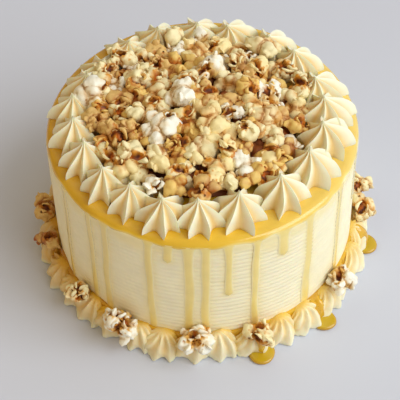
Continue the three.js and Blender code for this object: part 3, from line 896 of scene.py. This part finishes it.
def shell_body(angle, width, top, seed):
    """One shell: its ribs fan out from a point near its top, down to a scalloped foot and along to its ends"""
    columns = 52
    profile = smooth_curve(SHELL_PROFILE, 7)[1:-1]
    generator = np.random.default_rng(seed)
    # Two columns in three lie on the side that shows, from the wall over the top to the foot
    turn = np.interp(np.arange(columns) / columns, [0, 0.7, 1], [-1, 2, 2 * math.pi - 1])
    along, turn = np.meshgrid(profile[:, 1], turn, indexing="ij")
    reach = np.repeat(profile[:, 0], columns)
    along = along.ravel()
    turn = turn.ravel()
    down = 12 * (turn - generator.uniform(-0.45, -0.1))
    aside = SHELL_LENGTH * (along - generator.uniform(-0.08, 0.16))
    from_point = np.hypot(down, aside)
    phase = SHELL_RIBS * np.arctan2(aside, down) / (2 * math.pi) + 0.03 * from_point + generator.uniform()
    from_crest = 2 * np.abs(phase - np.round(phase))
    blade = (0.5 + 0.5 * np.cos(math.pi * from_crest)) ** 1.2
    uneven = wobble(np.stack([aside, down, 0 * down], axis=1), 9, seed)
    groove = SHELL_GROOVE * smooth_step(3.5, 12, from_point) * (1 + 0.25 * uneven)
    share = reach * (1 - groove * (1 - blade))
    x = share * np.sin(turn) * width
    z = SHELL_AXIS_HEIGHT + share * np.cos(turn) * (top - SHELL_AXIS_HEIGHT)
    points = np.stack([x, along * SHELL_LENGTH, z], axis=1)
    points[:, 0] += 0.7 * wobble(points, 13, seed + 3) * smooth_step(0, 6, points[:, 0])
    points[:, 2] += 0.7 * wobble(points, 11, seed + 4) * smooth_step(4, 12, points[:, 2])
    foot = np.clip(1 - points[:, 2] / 6, 0, 1)
    points[:, 0] += SHELL_FLARE * (blade - 0.2) * foot * smooth_step(2, 6, points[:, 0])
    points += 0.15 * np.stack([wobble(points, 3, seed + axis) for axis in range(3)], axis=1)
    points[:, 0] -= 1.6 * np.maximum(0, -points[:, 2]) * smooth_step(1, 5, points[:, 0])
    points[:, 2] = np.maximum(points[:, 2], 0)
    points[:, 0] = np.maximum(points[:, 0] + SHELL_RING, CAKE_RADIUS - 0.6)
    turned = np.stack([points[:, 0] * math.cos(angle) - points[:, 1] * math.sin(angle),
                       points[:, 0] * math.sin(angle) + points[:, 1] * math.cos(angle), points[:, 2]], axis=1)
    points, faces = capped_grid(turned, len(profile), columns)
    # Painted shade in the grooves between the ribs, with less of it low down toward the foot
    shade = np.concatenate([from_crest, [1, 0]])
    # Caramel in the seams between shells, darkened as painted shade
    seam_caramel_and_shade = np.concatenate([1 - smooth_step(0.45, 0.9, reach), [1, 1]])
    shade = 0.65 * shade ** 2 * (0.25 + 0.75 * smooth_step(1, 11, points[:, 2]))
    cream = mixed(even(BORDER_COLOUR, len(points)), even(PIPED_GROOVE_SHADE, len(points)), shade)
    from_wall = np.hypot(points[:, 0], points[:, 1]) - CAKE_RADIUS
    soaked = 0.16 + 0.68 * (1 - smooth_step(0, 11, from_wall + 2.5 * wobble(points, 14, seed + 4)))
    # More caramel, and darker caramel, toward the left: painted shade
    soaked = np.maximum(soaked + 0.4 * max(0, -math.cos(angle)), 0.65 * seam_caramel_and_shade) * smooth_step(0, 7, points[:, 2])
    caramel_shaded_left = caramel_tone(np.full(len(points), 1 + 0.4 * max(0, -math.cos(angle))))
    return points, faces, mixed(cream, caramel_shaded_left, soaked)


def add_border():
    parts = [shell_body(*shell, 500 + 5 * i) for i, shell in enumerate(border_shells())]
    points, faces, colours = joined(parts)
    add_piece("piped_border", points, faces, colours, piped_icing, "piped_icing", ["shell_border"])


def add_notch_caramel():
    """Caramel that has gathered between the wall and the shells, and runs over them down to the pools"""
    columns = 408
    angles = np.arange(columns) * 2 * math.pi / columns
    shells = border_shells()
    envelope = np.zeros(columns)
    for angle, width, top in shells:
        away = (angles - angle + math.pi) % (2 * math.pi) - math.pi
        along = away * SHELL_RING / SHELL_LENGTH
        reach = np.interp(along, [row[1] for row in SHELL_PROFILE], [row[0] for row in SHELL_PROFILE], 0, 0)
        envelope = np.maximum(envelope, reach)
    edge = np.stack([SHELL_RING * np.cos(angles), SHELL_RING * np.sin(angles), 0 * angles], axis=1)
    level = SHELL_TOP - 2.5 + 1.8 * wobble(edge, 18, 61)
    spill = 0.2 + 0.3 * wobble(edge, 12, 62) + 0.2 * wobble(edge, 5, 63)
    swell = np.full(columns, NOTCH_SINK)
    run = np.zeros(columns)
    for degrees in POOL_ANGLES:
        away = (angles - math.radians(degrees) + math.pi) % (2 * math.pi) - math.pi
        near_pool = np.exp(-(away * SHELL_RING / 4.2) ** 2)
        spill = np.maximum(spill, 2.4 * near_pool)
        swell = np.maximum(swell, NOTCH_SINK + (0.98 - NOTCH_SINK) * near_pool)
        run = np.maximum(run, 0.9 * near_pool)
    # Thicker, darker caramel toward the left: painted shade
    thick = 1.2 + 0.35 * np.clip(-np.cos(angles), 0, 1) + 0.12 * wobble(edge, 16, 64)
    turns = np.radians(np.linspace(178, -15, 28))
    rows = []
    films = []
    for turn in turns:
        passed = math.radians(150) - turn
        film = 2.4 * smooth_step(0, 1, (spill * 1.3 - passed) / 0.5 + 0.5) - 2.3 + run
        reach = envelope * swell
        radius = SHELL_RING + (SHELL_HALF_WIDTH * reach + film) * math.cos(turn)
        height = SHELL_AXIS_HEIGHT + ((SHELL_TOP - SHELL_AXIS_HEIGHT) * reach + film) * math.sin(turn)
        near_wall = radius < CAKE_RADIUS + 2.5
        height = np.where(near_wall, np.maximum(height, level), height)
        radius = np.maximum(radius, CAKE_RADIUS - 0.4)
        rows.append(np.stack([radius * np.cos(angles), radius * np.sin(angles), height], axis=1))
        films.append(np.where(near_wall, thick + 0.15, thick))
    for turn in turns[::-1]:
        radius = SHELL_RING + 0.5 * SHELL_HALF_WIDTH * math.cos(turn)
        height = SHELL_AXIS_HEIGHT + 0.4 * (SHELL_TOP - SHELL_AXIS_HEIGHT) * math.sin(turn)
        radius = max(radius, CAKE_RADIUS - 0.4)
        rows.append(np.stack([radius * np.cos(angles), radius * np.sin(angles), np.full(columns, height)], axis=1))
        films.append(np.full(columns, 1.5))
    faces = grid_faces(len(rows), columns, closed_rows=True)
    faces = [face[::-1] for face in faces]
    points = np.vstack(rows)
    add_piece("notch_caramel", points, faces, caramel_tone(np.concatenate(films)), caramel, "caramel", [])


def add_pools():
    columns = 64
    angles = np.arange(columns) * 2 * math.pi / columns
    profile = smooth_curve([[0.96, 0], [1.0, 0.3], [0.95, 0.75], [0.8, 0.97], [0.5, 1.0], [0.1, 1.0]], 4)
    for i, degrees in enumerate(POOL_ANGLES):
        outline = np.stack([6 * np.cos(angles), 6 * np.sin(angles), 0 * angles], axis=1)
        radius = POOL_RADIUS * (0.97 + 0.05 * wobble(outline, 7, 70 + i))
        middle = [POOL_RING * math.cos(math.radians(degrees)), POOL_RING * math.sin(math.radians(degrees))]
        rows = []
        films = []
        for reach, level in profile:
            rows.append(np.stack([middle[0] + reach * radius * np.cos(angles),
                                  middle[1] + reach * radius * np.sin(angles),
                                  np.full(columns, level * POOL_THICKNESS)], axis=1))
            films.append(np.full(columns, 0.4 * max(0, (reach - 0.8) / 0.2)))
        points, faces = capped_grid(np.vstack(rows), len(rows), columns)
        film = np.concatenate([np.concatenate(films), [0, 0]])
        colours = mixed(even(POOL_COLOUR, len(points)), even(CARAMEL_DARK, len(points)), film)
        add_piece(f"pool_{i + 1}", points, faces, colours, caramel, "caramel", [f"caramel_pool_{i + 1}"])


def add_floor():
    mesh = bpy.data.meshes.new("floor")
    reach = 4
    corners = [(-reach, -reach, 0), (reach, -reach, 0), (reach, reach, 0), (-reach, reach, 0)]
    mesh.from_pydata([(x, y, -0.3 * MM) for x, y, z in corners], [], [(0, 1, 2, 3)])
    material = bpy.data.materials.new("pale_floor")
    material.use_nodes = True
    surface = material.node_tree.nodes["Principled BSDF"]
    surface.inputs["Base Color"].default_value = (*linear((204, 210, 227)), 1)
    surface.inputs["Roughness"].default_value = 0.7
    mesh.materials.append(material)
    floor = bpy.data.objects.new("floor", mesh)
    bpy.context.scene.collection.objects.link(floor)


def add_light(name, place, target, size, power, colour):
    light = bpy.data.lights.new(name, "AREA")
    light.shape = "SQUARE"
    light.size = size
    light.energy = power
    light.color = colour
    lamp = bpy.data.objects.new(name, light)
    lamp.location = place
    lamp.rotation_euler = (Vector(target) - Vector(place)).to_track_quat("-Z", "Y").to_euler()
    bpy.context.scene.collection.objects.link(lamp)


# The photograph's camera: how steeply it looks down, from how far, its lens and its small roll
CAMERA_ELEVATION = 48.86
CAMERA_DISTANCE = 0.953
CAMERA_TARGET = (-0.0024, 0, 0.031)
CAMERA_LENS = 124.9
CAMERA_ROLL = -1.2


def add_camera():
    elevation = math.radians(CAMERA_ELEVATION)
    roll = math.radians(CAMERA_ROLL)
    forward = Vector((0, math.cos(elevation), -math.sin(elevation)))
    right = Vector((1, 0, 0))
    up = right.cross(forward)
    rolled_right = right * math.cos(roll) + up * math.sin(roll)
    rolled_up = up * math.cos(roll) - right * math.sin(roll)
    lens = bpy.data.cameras.new("camera")
    lens.lens = CAMERA_LENS
    lens.sensor_width = 36
    camera = bpy.data.objects.new("camera", lens)
    axes = Matrix((rolled_right, rolled_up, -forward)).transposed().to_4x4()
    camera.matrix_world = Matrix.Translation(Vector(CAMERA_TARGET) - forward * CAMERA_DISTANCE) @ axes
    bpy.context.scene.collection.objects.link(camera)
    bpy.context.scene.camera = camera


# The room's light, as linear red, green and blue
ROOM_WARM_SIDE = (0.4, 0.278, 0.1)
ROOM_WINDOW_SIDE = (0.76, 0.78, 0.81)


def add_world():
    """A pale room: neutral on the window's side, dimmer and warmer on the other"""
    world = bpy.data.worlds.new("studio")
    world.use_nodes = True
    nodes = world.node_tree.nodes
    links = world.node_tree.links
    place = nodes.new("ShaderNodeTexCoord")
    axes = nodes.new("ShaderNodeSeparateXYZ")
    links.new(place.outputs["Generated"], axes.inputs["Vector"])
    share = nodes.new("ShaderNodeMapRange")
    share.inputs["From Min"].default_value = -0.65
    share.inputs["From Max"].default_value = 0.85
    links.new(axes.outputs["X"], share.inputs["Value"])
    walls = nodes.new("ShaderNodeValToRGB")
    walls.color_ramp.elements[0].color = (*ROOM_WARM_SIDE, 1)
    walls.color_ramp.elements[1].color = (*ROOM_WINDOW_SIDE, 1)
    links.new(share.outputs["Result"], walls.inputs["Fac"])
    links.new(walls.outputs["Color"], nodes["Background"].inputs["Color"])
    bpy.context.scene.world = world


add_iced_cake()
add_glaze()
add_rosettes()
add_heap()
add_border()
add_base_popcorn()
add_notch_caramel()
add_pools()
add_floor()
add_light("window", (2.4, -1.1, 2.5), (0, 0, 0.06), 2.8, 91, (0.99, 1.0, 0.97))
add_light("warm_bounce", (-0.9, -0.55, 0.2), (0, 0, 0.06), 0.5, 0.6, (1.0, 0.6, 0.16))
add_world()
add_camera()
bpy.context.scene.view_settings.view_transform = "Standard"
